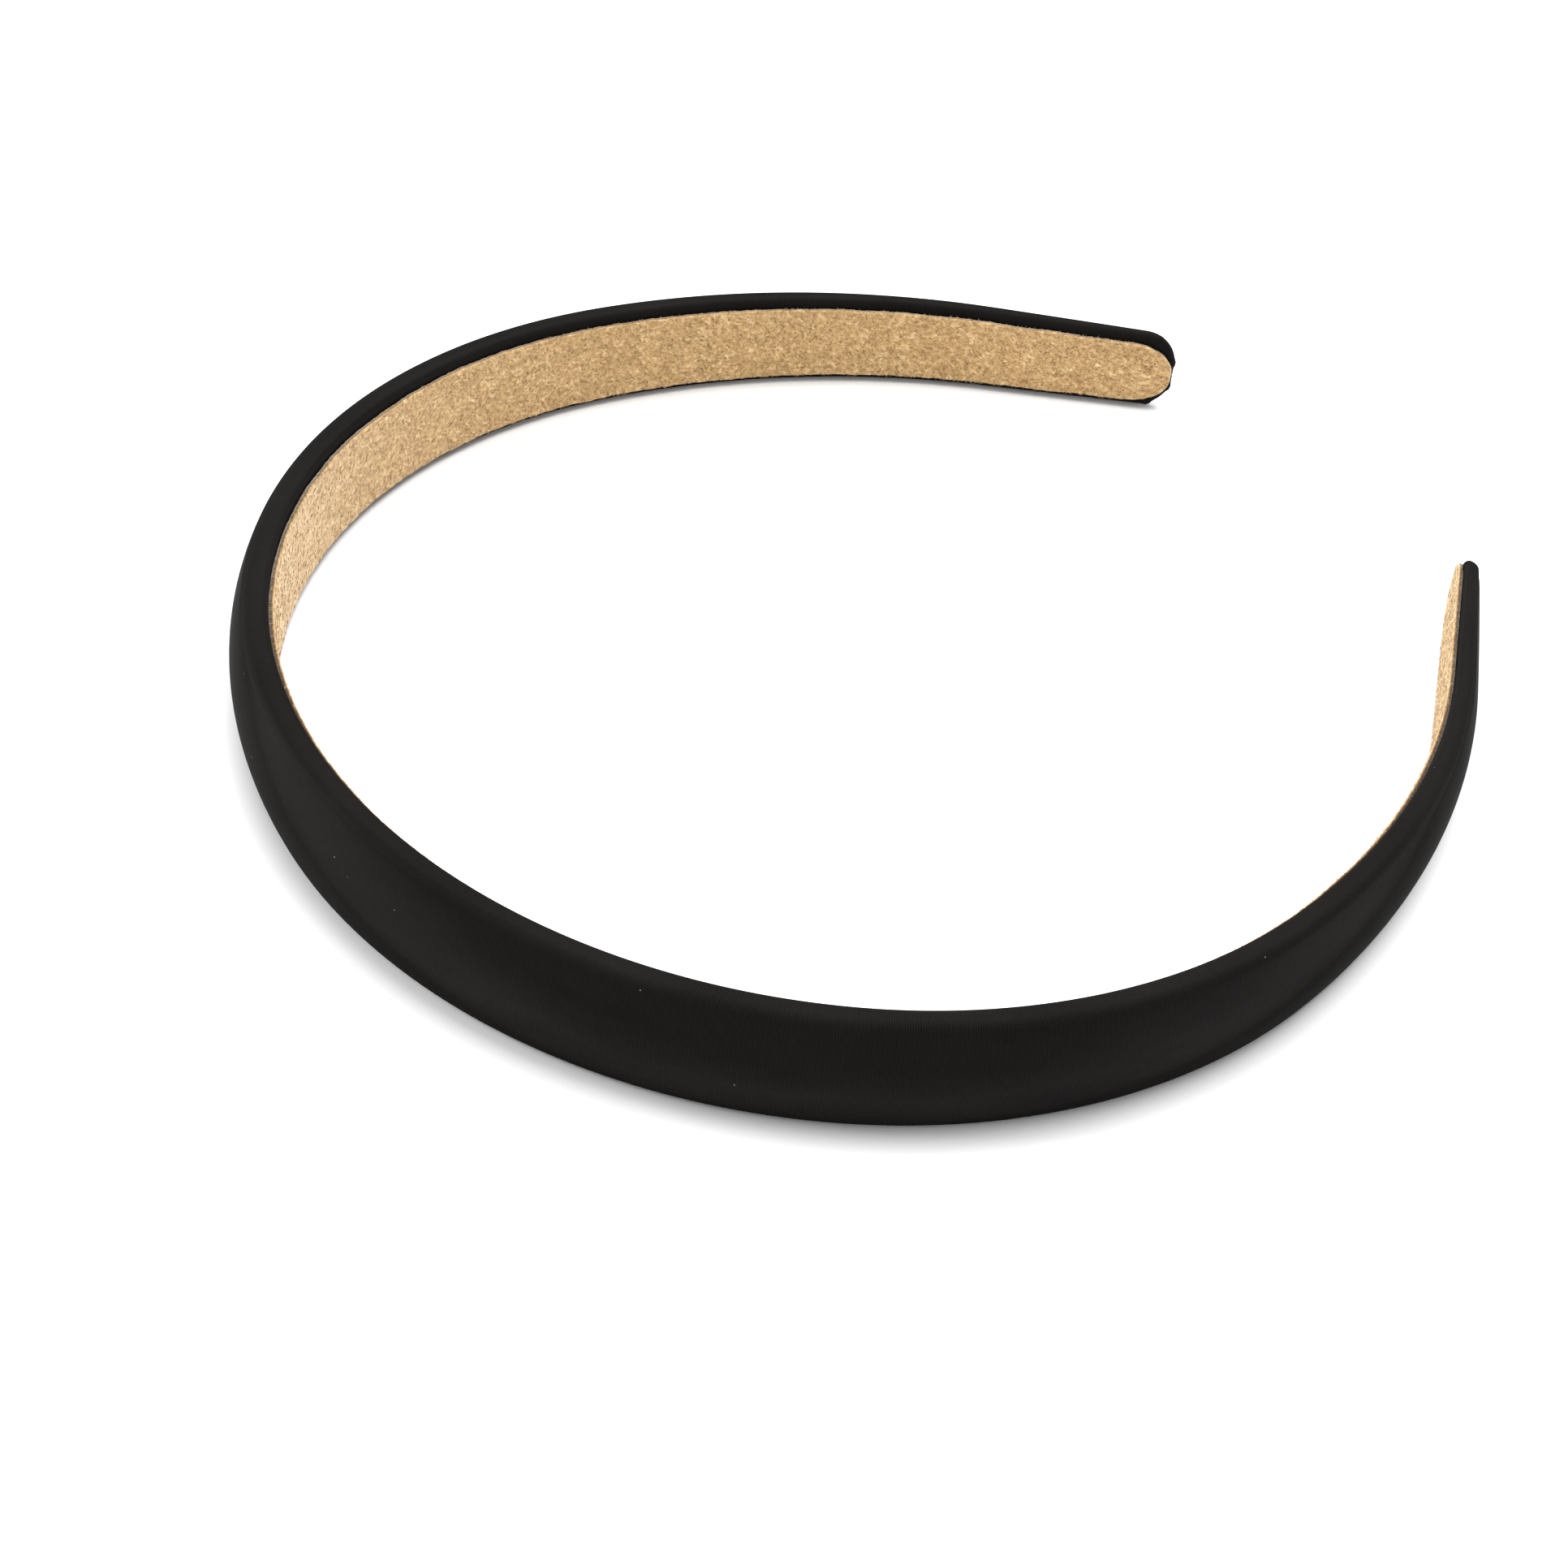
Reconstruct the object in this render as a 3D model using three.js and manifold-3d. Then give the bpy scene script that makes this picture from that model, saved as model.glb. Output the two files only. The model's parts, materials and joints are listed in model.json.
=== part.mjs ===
// A satin-covered hoop headband, in millimetres, +Z up.
//
// The hoop lies on its side edge on a table, with its crown towards -Y and its open end
// towards +Y, and the origin is the middle of its footprint on the table. From the head
// outwards its layers are a suede lining, the film that sticks the lining down, the satin
// cover with its two hems, and a springy plastic core that the satin wraps.
//
// Each layer is split at the middle of the crown, where a sprung hinge stands in for the
// plastic's own bending, so it has a left and a right half.
import * as THREE from 'three';
import Module from 'manifold-3d';

const wasm = await Module();
wasm.setup();

// ---- Driving dimensions, in millimetres and degrees ----------------------------------

// The curve of the face that touches the head: on each side of the crown there are three
// arcs and then a straight tip.
const CROWN_ARC = { radius: 65, sweep: 53 };
const SHOULDER_ARC = { radius: 60.5, sweep: 46.5 };
const ARM_ARC = { radius: 89.5, sweep: 32.3 };
const TIP_LENGTH = 24.2;

// The band's outline, seen face on.
const CROWN_WIDTH = 15;
const TIP_WIDTH = 10.5;
const TAPER_POWER = 1.3; // above 1, the band stays wide near the crown
const TIP_FLAT = 2; // straight stretch between a tip's two rounded corners

// Thicknesses, from the head outwards.
const LINING_THICKNESS = 0.4;
const FILM_THICKNESS = 0.05;
const SATIN_THICKNESS = 0.3;
const CORE_THICKNESS = 2.5; // beside the dome of its outer face, at the crown
const TIP_THINNING = 1.6; // what that thickness loses between the crown and the tips
const THINNING_POWER = 5; // high, so most of the loss is near the tips
const LAYER_GAP = 0.05; // clearance between two neighbouring layers

// The core's outer face is domed, and its long edges are rounded, more on that face.
const DOME_HEIGHT = 1.3; // at the crown; it shrinks with the face's width
const CORE_OUTER_EDGE = 1.0;
const CORE_INNER_EDGE = 0.4;

const LINING_EDGE = 0.1; // rounding of the lining's own edges
const LINING_SIDE_INSET = 1.1; // from the cover's side edge to the lining's
const LINING_OVERHANG = 0.2; // how far the lining runs past the cover's tip
const LINING_TIP_REACH = 5.5; // how far from its end the lining starts to narrow
const LINING_TIP_FLAT = 0.5; // straight stretch between the lining's two rounded corners
const FILM_INSET = 0.3; // from the lining's side edge and the cover's tip to the film

const HEM_GAP = 4; // bare core between the cover's two hems
const HEM_FOLD = 7; // length of the satin folded over each tip
const SPLIT_GAP = 0.3; // between the left and right halves at the crown

// How finely curves are cut into facets.
const ARM_STEPS = 28;
const TIP_STEPS = 5;
const CORNER_STEPS = 2;
const DOME_STEPS = 6;

const CUT_OVERRUN = 1; // how far a cutting solid runs past what it cuts

// ---- The hoop's curve and outline ----------------------------------------------------

const ARCS = [CROWN_ARC, SHOULDER_ARC, ARM_ARC].map(({ radius, sweep }) => {
  const angle = THREE.MathUtils.degToRad(sweep);
  return { radius, length: radius * angle };
});
const HALF_LENGTH = ARCS.reduce((sum, arc) => sum + arc.length, TIP_LENGTH);

// Turns (distance along the right half, distance out from the head, height) into a point.
// The curve starts at the origin at the crown, heading for +X, and turns towards +Y.
function pointOnHoop(along, out, height) {
  let heading = 0;
  let left = along;
  const point = new THREE.Vector2();
  for (const arc of ARCS) {
    const length = Math.min(left, arc.length);
    const next = heading + length / arc.radius;
    point.x += arc.radius * (Math.sin(next) - Math.sin(heading));
    point.y += arc.radius * (Math.cos(heading) - Math.cos(next));
    heading = next;
    left -= length;
    if (left <= 0) break;
  }
  const straight = Math.max(left, 0);
  return new THREE.Vector3(
    point.x + out * Math.sin(heading) + straight * Math.cos(heading),
    point.y - out * Math.cos(heading) + straight * Math.sin(heading),
    height,
  );
}

// Half the cover's width at a distance from the crown, before its tip is rounded.
function coverHalfWidth(along) {
  const share = Math.min(Math.abs(along) / HALF_LENGTH, 1);
  const taper = (CROWN_WIDTH - TIP_WIDTH) * (1 - share ** TAPER_POWER);
  return (TIP_WIDTH + taper) / 2;
}

const COVER_TIP_RADIUS = (TIP_WIDTH - TIP_FLAT) / 2;

// How much thinner the core is at a distance from the crown than it is at the crown.
function thinning(along) {
  const share = THREE.MathUtils.clamp(along / HALF_LENGTH, 0, 1);
  return TIP_THINNING * share ** THINNING_POWER;
}

// Half the width of the core's domed face at the crown.
const CROWN_FACE = CROWN_WIDTH / 2 - SATIN_THICKNESS - LAYER_GAP - CORE_OUTER_EDGE;

// ---- Layers, lofted along the right half ---------------------------------------------

// The corners of one cross-section, as [height, out] pairs going round once.
function sectionPoints(along, half, layer) {
  const outer = layer.outer - (layer.isShaped ? thinning(along) : 0);
  const thick = outer - layer.inner;
  const outerEdge = Math.min(layer.outerEdge, half, thick / 2);
  const innerEdge = Math.min(layer.innerEdge, half, thick / 2);
  const corners = [
    { height: half - outerEdge, out: outer - outerEdge, edge: outerEdge, from: 0 },
    { height: outerEdge - half, out: outer - outerEdge, edge: outerEdge, from: 90 },
    { height: innerEdge - half, out: layer.inner + innerEdge, edge: innerEdge, from: 180 },
    { height: half - innerEdge, out: layer.inner + innerEdge, edge: innerEdge, from: 270 },
  ];
  const points = corners.flatMap(({ height, out, edge, from }) => {
    if (edge === 0) return [[height, out]];
    return Array.from({ length: CORNER_STEPS + 1 }, (_, step) => {
      const angle = THREE.MathUtils.degToRad(from + (90 * step) / CORNER_STEPS);
      return [height + edge * Math.cos(angle), out + edge * Math.sin(angle)];
    });
  });
  if (!layer.isShaped) return points;
  const firstCorner = CORNER_STEPS + 1;
  return [
    ...points.slice(0, firstCorner),
    ...domePoints(outer, half - outerEdge),
    ...points.slice(firstCorner),
  ];
}

// The points of a domed outer face between its two rounded edges.
function domePoints(outer, face) {
  const dome = (DOME_HEIGHT * face) / CROWN_FACE;
  return Array.from({ length: DOME_STEPS - 1 }, (_, step) => {
    const share = 1 - (2 * (step + 1)) / DOME_STEPS;
    return [face * share, outer + dome * (1 - share ** 2)];
  });
}

// Where the layer's cross-sections stand, with the half width of each. All layers share the
// stations up to the cover's tip, so their facets lie parallel.
function stationsOf(layer) {
  const tipCentre = layer.end - layer.tipReach;
  const sharedEnd = Math.min(HALF_LENGTH - COVER_TIP_RADIUS, tipCentre);
  const stations = [];
  for (let step = 0; step < ARM_STEPS; step++) {
    const along = SPLIT_GAP / 2 + ((HALF_LENGTH - COVER_TIP_RADIUS) * step) / ARM_STEPS;
    if (along < sharedEnd) stations.push({ along, narrowing: 0 });
  }
  for (let step = 0; step <= TIP_STEPS; step++) {
    const angle = (Math.PI / 2) * (step / TIP_STEPS);
    stations.push({
      along: tipCentre + layer.tipReach * Math.sin(angle),
      narrowing: layer.tipRadius * (1 - Math.cos(angle)),
    });
    if (layer.tipRadius === 0) break;
  }
  if (layer.runsPastSplit) stations.unshift({ along: -CUT_OVERRUN, narrowing: 0 });
  return stations.map(({ along, narrowing }) => ({
    along,
    half: layer.halfWidth(along) - narrowing,
  }));
}

// Joins the cross-sections with quads and closes both ends.
function loft(layer) {
  const sections = stationsOf(layer).map(({ along, half }) =>
    sectionPoints(along, half, layer).map(([height, out]) => pointOnHoop(along, out, height)));
  const count = sections[0].length;
  const index = [];
  for (let ring = 0; ring + 1 < sections.length; ring++) {
    for (let corner = 0; corner < count; corner++) {
      const next = (corner + 1) % count;
      const near = [ring * count + corner, ring * count + next];
      const far = near.map((vertex) => vertex + count);
      index.push(near[0], far[1], far[0], near[0], near[1], far[1]);
    }
  }
  const last = (sections.length - 1) * count;
  for (let corner = 1; corner + 1 < count; corner++) {
    index.push(0, corner + 1, corner);
    index.push(last, last + corner, last + corner + 1);
  }
  const geometry = new THREE.BufferGeometry().setFromPoints(sections.flat());
  geometry.setIndex(index);
  return geometry;
}

// A layer of the band's own outline, drawn in from the cover's sides and tips. A shaped one
// follows the core's outer face, with its dome and its thin tips.
function layerInset({ side, end, inner, outer, innerEdge = 0, outerEdge = 0, isShaped = false }) {
  const tipRadius = Math.max(COVER_TIP_RADIUS - side, 0);
  return {
    inner,
    outer,
    innerEdge,
    outerEdge,
    isShaped,
    end: HALF_LENGTH - end,
    tipRadius,
    tipReach: tipRadius,
    halfWidth: (along) => coverHalfWidth(along) - side,
    runsPastSplit: false,
  };
}

// ---- Boolean cuts --------------------------------------------------------------------

function toSolid(geometry) {
  return new wasm.Manifold(new wasm.Mesh({
    numProp: 3,
    vertProperties: geometry.getAttribute('position').array,
    triVerts: new Uint32Array(geometry.index.array),
  }));
}

function toGeometry(solid) {
  const { vertProperties, triVerts } = solid.getMesh();
  const geometry = new THREE.BufferGeometry();
  geometry.setAttribute('position', new THREE.BufferAttribute(vertProperties, 3));
  geometry.setIndex(new THREE.BufferAttribute(triVerts, 1));
  return geometry;
}

// ---- Sub-parts -----------------------------------------------------------------------

// Where each layer starts, counted out from the face that touches the head.
const FILM_INNER = LINING_THICKNESS + LAYER_GAP;
const COVER_INNER = FILM_INNER + FILM_THICKNESS + LAYER_GAP;
const CORE_INNER = COVER_INNER + SATIN_THICKNESS + LAYER_GAP;
const CORE_OUTER = CORE_INNER + CORE_THICKNESS;
const COVER_OUTER = CORE_OUTER + LAYER_GAP + SATIN_THICKNESS;

// The lining and its film have a longer, rounder tip than the cover.
const LINING_TIP_RADIUS = (TIP_WIDTH - LINING_TIP_FLAT) / 2 - LINING_SIDE_INSET;

function makeLining() {
  return loft({
    ...layerInset({
      side: LINING_SIDE_INSET,
      end: -LINING_OVERHANG,
      inner: 0,
      outer: LINING_THICKNESS,
      innerEdge: LINING_EDGE,
      outerEdge: LINING_EDGE,
    }),
    tipRadius: LINING_TIP_RADIUS,
    tipReach: LINING_TIP_REACH,
  });
}

function makeLiningFilm() {
  return loft({
    ...layerInset({
      side: LINING_SIDE_INSET + FILM_INSET,
      end: FILM_INSET,
      inner: FILM_INNER,
      outer: FILM_INNER + FILM_THICKNESS,
    }),
    tipRadius: LINING_TIP_RADIUS - FILM_INSET,
    tipReach: LINING_TIP_REACH - FILM_INSET,
  });
}

function makeCore() {
  const around = SATIN_THICKNESS + LAYER_GAP;
  return loft(layerInset({
    side: around,
    end: around,
    inner: CORE_INNER,
    outer: CORE_OUTER,
    innerEdge: CORE_INNER_EDGE,
    outerEdge: CORE_OUTER_EDGE,
    isShaped: true,
  }));
}

// The satin goes round the core's outer face, edges and tip, and its two hems lie on the
// inner face with a slot of bare core between them.
function makeCover() {
  const toCavity = SATIN_THICKNESS;
  const toCore = SATIN_THICKNESS + LAYER_GAP;
  const outside = loft(layerInset({
    side: 0,
    end: 0,
    inner: COVER_INNER,
    outer: COVER_OUTER,
    innerEdge: CORE_INNER_EDGE + toCore,
    outerEdge: CORE_OUTER_EDGE + toCore,
    isShaped: true,
  }));
  const cavity = loft({
    ...layerInset({
      side: toCavity,
      end: toCavity,
      inner: COVER_INNER + toCavity,
      outer: COVER_OUTER - toCavity,
      innerEdge: CORE_INNER_EDGE + LAYER_GAP,
      outerEdge: CORE_OUTER_EDGE + LAYER_GAP,
      isShaped: true,
    }),
    runsPastSplit: true,
  });
  const slot = loft({
    inner: COVER_INNER - CUT_OVERRUN,
    outer: (CORE_INNER + CORE_OUTER) / 2,
    innerEdge: 0,
    outerEdge: 0,
    isShaped: false,
    end: HALF_LENGTH - HEM_FOLD,
    tipRadius: 0,
    tipReach: 0,
    halfWidth: () => HEM_GAP / 2,
    runsPastSplit: true,
  });
  return toGeometry(toSolid(outside).subtract(toSolid(cavity)).subtract(toSolid(slot)));
}

// ---- Materials -----------------------------------------------------------------------

const SATIN = new THREE.MeshStandardMaterial({ color: 0x1c1a19, roughness: 0.5, metalness: 0 });
const SUEDE = new THREE.MeshStandardMaterial({ color: 0xd3ab74, roughness: 0.95, metalness: 0 });
const PLASTIC = new THREE.MeshStandardMaterial({ color: 0x232326, roughness: 0.4, metalness: 0 });
const FILM = new THREE.MeshStandardMaterial({ color: 0xd9cba8, roughness: 0.3, metalness: 0 });

// ---- Assembly ------------------------------------------------------------------------

// Adds a layer's two halves. A half is symmetric about the hoop's mid plane, so the left
// one is the right one turned half a turn about the hoop's own centre line.
function addHalves(hoop, name, geometry, material) {
  const right = new THREE.Mesh(geometry, material);
  right.name = `${name}_right`;
  const left = new THREE.Mesh(geometry, material);
  left.name = `${name}_left`;
  left.rotation.y = Math.PI;
  hoop.add(right, left);
}

// The band is narrower towards its tips, so on a table it leans until the crown's edge and
// the arms' edges both touch. This is the slope of that lean.
function restingSlope() {
  const crown = pointOnHoop(0, COVER_OUTER, -coverHalfWidth(0));
  const slopes = stationsOf(layerInset({ side: 0, end: 0, inner: 0, outer: 0 }))
    .filter(({ along }) => along > CROWN_ARC.radius / 2)
    .map(({ along, half }) => {
      const edge = pointOnHoop(along, COVER_OUTER, -half);
      return (edge.z - crown.z) / (edge.y - crown.y);
    });
  return Math.min(...slopes);
}

const hoop = new THREE.Group();
addHalves(hoop, 'hoop_core', makeCore(), PLASTIC);
addHalves(hoop, 'satin_cover', makeCover(), SATIN);
addHalves(hoop, 'lining_film', makeLiningFilm(), FILM);
addHalves(hoop, 'suede_lining', makeLining(), SUEDE);
hoop.rotation.x = -Math.atan(restingSlope());
hoop.updateMatrixWorld(true);

const footprint = new THREE.Box3().setFromObject(hoop, true);
const middle = footprint.getCenter(new THREE.Vector3());
hoop.position.set(-middle.x, -middle.y, -footprint.min.z);

const headband = new THREE.Group();
headband.add(hoop);

export default headband;
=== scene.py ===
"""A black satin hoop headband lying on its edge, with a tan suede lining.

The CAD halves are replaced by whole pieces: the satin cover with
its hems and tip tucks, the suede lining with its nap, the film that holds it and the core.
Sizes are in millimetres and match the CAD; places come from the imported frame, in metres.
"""

import json
import math

import bpy
import numpy as np
from mathutils import Matrix, Quaternion, Vector


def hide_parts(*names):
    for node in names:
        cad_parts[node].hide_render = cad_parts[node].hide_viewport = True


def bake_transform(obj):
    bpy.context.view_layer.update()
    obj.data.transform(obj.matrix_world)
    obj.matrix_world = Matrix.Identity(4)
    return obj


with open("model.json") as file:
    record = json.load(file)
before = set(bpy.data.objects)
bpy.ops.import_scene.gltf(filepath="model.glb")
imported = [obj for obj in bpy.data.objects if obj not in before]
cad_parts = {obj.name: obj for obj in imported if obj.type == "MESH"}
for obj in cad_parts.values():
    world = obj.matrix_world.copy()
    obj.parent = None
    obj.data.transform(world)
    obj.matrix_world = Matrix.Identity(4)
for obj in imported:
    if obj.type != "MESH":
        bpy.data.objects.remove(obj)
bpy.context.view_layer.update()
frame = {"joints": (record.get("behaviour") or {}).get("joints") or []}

# ---- Sizes, in millimetres -----------------------------------------------------------

MM = 0.001
HOOP_ARCS = ((65.0, 53.0), (60.5, 46.5), (89.5, 32.3))  # radius and sweep in degrees
TIP_LENGTH = 24.2  # straight, past the arcs
CROWN_WIDTH = 15.0
TIP_WIDTH = 10.5
TAPER_POWER = 1.3
TIP_FLAT = 2.0

LINING_THICKNESS = 0.4
FILM_THICKNESS = 0.05
SATIN_THICKNESS = 0.3
CORE_THICKNESS = 2.5
TIP_THINNING = 1.6
THINNING_POWER = 5
DOME_HEIGHT = 1.3
LAYER_GAP = 0.05
CORE_OUTER_EDGE = 1.0
CORE_INNER_EDGE = 0.4
LINING_SIDE_INSET = 1.1
LINING_OVERHANG = 0.2
LINING_TIP_REACH = 5.5
LINING_TIP_FLAT = 0.5
FILM_INSET = 0.3
HEM_GAP = 4.0

FILM_INNER = LINING_THICKNESS + LAYER_GAP
COVER_INNER = FILM_INNER + FILM_THICKNESS + LAYER_GAP
CORE_INNER = COVER_INNER + SATIN_THICKNESS + LAYER_GAP
CORE_OUTER = CORE_INNER + CORE_THICKNESS
COVER_OUTER = CORE_OUTER + LAYER_GAP + SATIN_THICKNESS
COVER_TIP_RADIUS = (TIP_WIDTH - TIP_FLAT) / 2
LINING_TIP_RADIUS = (TIP_WIDTH - LINING_TIP_FLAT) / 2 - LINING_SIDE_INSET
HALF_LENGTH = sum(radius * math.radians(sweep) for radius, sweep in HOOP_ARCS) + TIP_LENGTH
OUTER_APEX = COVER_OUTER + DOME_HEIGHT  # the middle of the cover's domed face, at the crown

NOISE_CELLS = 256  # each way, before the noise repeats

# ---- The hoop's own axes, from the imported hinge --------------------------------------

flex = next(joint for joint in frame["joints"] if joint["name"] == "crown_flex")
UP = -Vector(flex["axis"]).normalized()  # along the band's width
RIGHT = Vector((1, 0, 0))
BACK = UP.cross(RIGHT)  # from the crown to the open end
CROWN = Vector(flex["pos_m"]) + BACK * OUTER_APEX * MM  # the lining's face at the crown


def on_hoop(along, out, height):
    """Points in metres, from the distance along the band (negative on the left), the distance
    out from the head and the height above the band's mid line, all in millimetres."""
    along, out, height = np.broadcast_arrays(
        np.asarray(along, float), np.asarray(out, float), np.asarray(height, float))
    left = np.abs(along)
    heading = np.zeros_like(left)
    x, y = np.zeros_like(left), np.zeros_like(left)
    for radius, sweep in HOOP_ARCS:
        turn = np.minimum(left / radius, math.radians(sweep))
        x += radius * (np.sin(heading + turn) - np.sin(heading))
        y += radius * (np.cos(heading) - np.cos(heading + turn))
        heading = heading + turn
        left = left - turn * radius
    x = x + out * np.sin(heading) + left * np.cos(heading)
    x = x * np.where(along < 0, -1, 1)
    y = y - out * np.cos(heading) + left * np.sin(heading)
    axes = np.array((RIGHT, BACK, UP))
    return np.array(CROWN) + np.stack((x, y, height), -1) @ axes * MM


def half_width(along):
    """Half the cover's width, in millimetres, before its tip is rounded."""
    share = np.clip(np.abs(along) / HALF_LENGTH, 0, 1)
    return (TIP_WIDTH + (CROWN_WIDTH - TIP_WIDTH) * (1 - share ** TAPER_POWER)) / 2


def thinning(along):
    """How much thinner the core is at a place than it is at the crown, in millimetres."""
    return TIP_THINNING * np.clip(np.abs(along) / HALF_LENGTH, 0, 1) ** THINNING_POWER


def value_noise(u, v, seed):
    """Smooth noise from 0 to 1 that changes over a distance of about 1 in u and v."""
    table = np.random.default_rng(seed).random((NOISE_CELLS, NOISE_CELLS))
    iu, iv = np.floor(u).astype(int), np.floor(v).astype(int)
    fu, fv = u - iu, v - iv
    fu, fv = fu * fu * (3 - 2 * fu), fv * fv * (3 - 2 * fv)
    corner = [[table[(iu + a) % NOISE_CELLS, (iv + b) % NOISE_CELLS] for b in (0, 1)]
              for a in (0, 1)]
    low = corner[0][0] * (1 - fu) + corner[1][0] * fu
    high = corner[0][1] * (1 - fu) + corner[1][1] * fu
    return low * (1 - fv) + high * fv


# ---- Strips: slabs and sheets that follow the band -----------------------------------

TIP_CORNER_STEPS = 14


class Outline:
    """A layer's outline laid flat, as matching points down its upper and lower sides.

    along and side are the upper side's points from the left tip to the right tip, and
    (inward_along, inward_side) the way into the layer there. The lower side mirrors it.
    radius and reach are the tip's corner across and along the band; without them the corner
    runs parallel to the cover's.
    """

    def __init__(self, side_inset, end_inset, step, radius=None, reach=None):
        if radius is None:
            radius = reach = COVER_TIP_RADIUS - side_inset
        centre = HALF_LENGTH - end_inset - reach
        arm = np.linspace(0, centre, max(2, round(centre / step)))
        angle = np.linspace(0, math.pi / 2, TIP_CORNER_STEPS + 1)[1:]
        arm_side = half_width(arm) - side_inset
        corner_along = centre + reach * np.sin(angle)
        corner_side = arm_side[-1] - radius * (1 - np.cos(angle))
        along = np.concatenate((arm, corner_along))
        side = np.concatenate((arm_side, corner_side))
        inward_along = np.concatenate((np.zeros_like(arm), -np.sin(angle)))
        inward_side = np.concatenate((-np.ones_like(arm), -np.cos(angle)))
        self.along = np.concatenate((-along[:0:-1], along))
        self.side = np.concatenate((side[:0:-1], side))
        self.inward_along = np.concatenate((-inward_along[:0:-1], inward_along))
        self.inward_side = np.concatenate((inward_side[:0:-1], inward_side))

    def rows(self, inset, columns):
        """The flat grid inside the outline drawn in by inset: along and height, by row and
        column, with each row going from the upper side to the lower."""
        along = self.along + self.inward_along * inset
        side = self.side + self.inward_side * inset
        across = np.linspace(1, -1, columns + 1)
        return np.repeat(along[:, None], columns + 1, 1), side[:, None] * across

    def loop(self, columns):
        """The outline once round: along, height and the way inwards, from the left end of the
        upper side. Its corners match the border of rows()."""
        ends = np.linspace(self.side[-1], -self.side[-1], columns + 1)[1:-1]
        still = np.zeros_like(ends)
        last = self.along[-1]
        along = np.concatenate((self.along, still + last, self.along[::-1], still - last))
        height = np.concatenate((self.side, ends, -self.side[::-1], ends[::-1]))
        inward = np.concatenate((self.inward_along, still - 1, self.inward_along[::-1], still + 1))
        upward = np.concatenate((self.inward_side, still, -self.inward_side[::-1], still))
        return along, height, inward, upward


def border_of(rows, columns):
    """The grid vertices round its border, in the order of Outline.loop()."""
    upper = [row * (columns + 1) for row in range(rows)]
    right = [(rows - 1) * (columns + 1) + column for column in range(1, columns)]
    lower = [row * (columns + 1) + columns for row in range(rows - 1, -1, -1)]
    left = list(range(columns - 1, 0, -1))
    return upper + right + lower + left


def grid_faces(rows, columns):
    """Quads over the grid, facing away from the head."""
    faces = []
    for row in range(rows - 1):
        for column in range(columns):
            first = row * (columns + 1) + column
            below = first + columns + 1
            faces.append((first, first + 1, below + 1, below))
    return faces


def ring_faces(rings):
    """Quads between each ring of vertices and the next."""
    faces = []
    for near, far in zip(rings, rings[1:]):
        count = len(near)
        for index in range(count):
            after = (index + 1) % count
            faces.append((near[index], near[after], far[after], far[index]))
    return faces


def closing_faces(ring, rows, columns):
    """Strips right across the band that close the last ring. The two end strips take in the
    points of the tips' flat ends."""
    right_end = ring[rows:rows + columns - 1]
    lower = ring[rows + columns - 1:2 * rows + columns - 1][::-1]
    left_end = ring[2 * rows + columns - 1:]
    faces = []
    for row in range(rows - 1):
        face = [ring[row], ring[row + 1], lower[row + 1], lower[row]]
        if row == rows - 2:
            face = [ring[row], ring[row + 1], *right_end, lower[row + 1], lower[row]]
        if row == 0:
            face = [ring[0], ring[1], lower[1], lower[0], *left_end]
        faces.append(face)
    return faces


def next_ring(rings, rows, columns, count):
    """The numbers of the next ring's vertices, after the grid's and the rings' so far."""
    start = rings[-1][-1] + 1 if len(rings) > 1 else rows * (columns + 1)
    return list(range(start, start + count))


def make_object(name, points, faces, smooth=True):
    mesh = bpy.data.meshes.new(name)
    mesh.from_pydata(np.asarray(points).tolist(), [], [list(face) for face in faces])
    mesh.validate()
    mesh.polygons.foreach_set("use_smooth", [smooth] * len(mesh.polygons))
    made = bpy.data.objects.new(name, mesh)
    bpy.context.scene.collection.objects.link(made)
    return made


def store(made, name, values):
    """Keeps one number or one vector for each vertex, for the material to read."""
    values = np.asarray(values, np.float32)
    kind, field = ("FLOAT", "value") if values.ndim == 1 else ("FLOAT_VECTOR", "vector")
    attribute = made.data.attributes.new(name, kind, "POINT")
    attribute.data.foreach_set(field, values.ravel())


# ---- The satin cover -----------------------------------------------------------------

SATIN_STEP = 0.8
SATIN_COLUMNS = 16
DOME_SLOPE = 22.0  # degrees that the domed face has turned by where its rounded edge starts
OUTER_EDGE = CORE_OUTER_EDGE + LAYER_GAP + SATIN_THICKNESS
INNER_EDGE = CORE_INNER_EDGE + LAYER_GAP + SATIN_THICKNESS
FACE_INSET = OUTER_EDGE * (1 - math.sin(math.radians(DOME_SLOPE)))
OUTER_EDGE_STEPS = 10
INNER_EDGE_STEPS = 7
HEM_SHARES = (0.15, 0.4, 1.0)  # places of the last rings on the way in to the hem
TUCK_HEIGHT = 0.32  # how far a tuck of satin stands out beside the lining at a tip
TUCK_LEAN = (0.6, 0.8)  # which way it stands: away from the lining and towards the head
TUCK_LENGTH = 1 / 3  # of the way to the hem
TUCK_SPREAD = 0.035  # of the way round the tip
TUCKS = (0.12, 0.4, 0.66, 0.9)  # places round each tip, from its upper side to its lower


def face_out(along, height, outer, edge):
    """How far out the domed outer face is on a grid whose rows cross it, for a layer whose
    side edges are rounded up to outer."""
    side = height[:, :1]
    dome = side * math.tan(math.radians(DOME_SLOPE)) / 2
    dip = edge * (1 - math.cos(math.radians(DOME_SLOPE)))
    return outer - thinning(along) - dip + dome * (1 - (height / side) ** 2)


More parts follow.
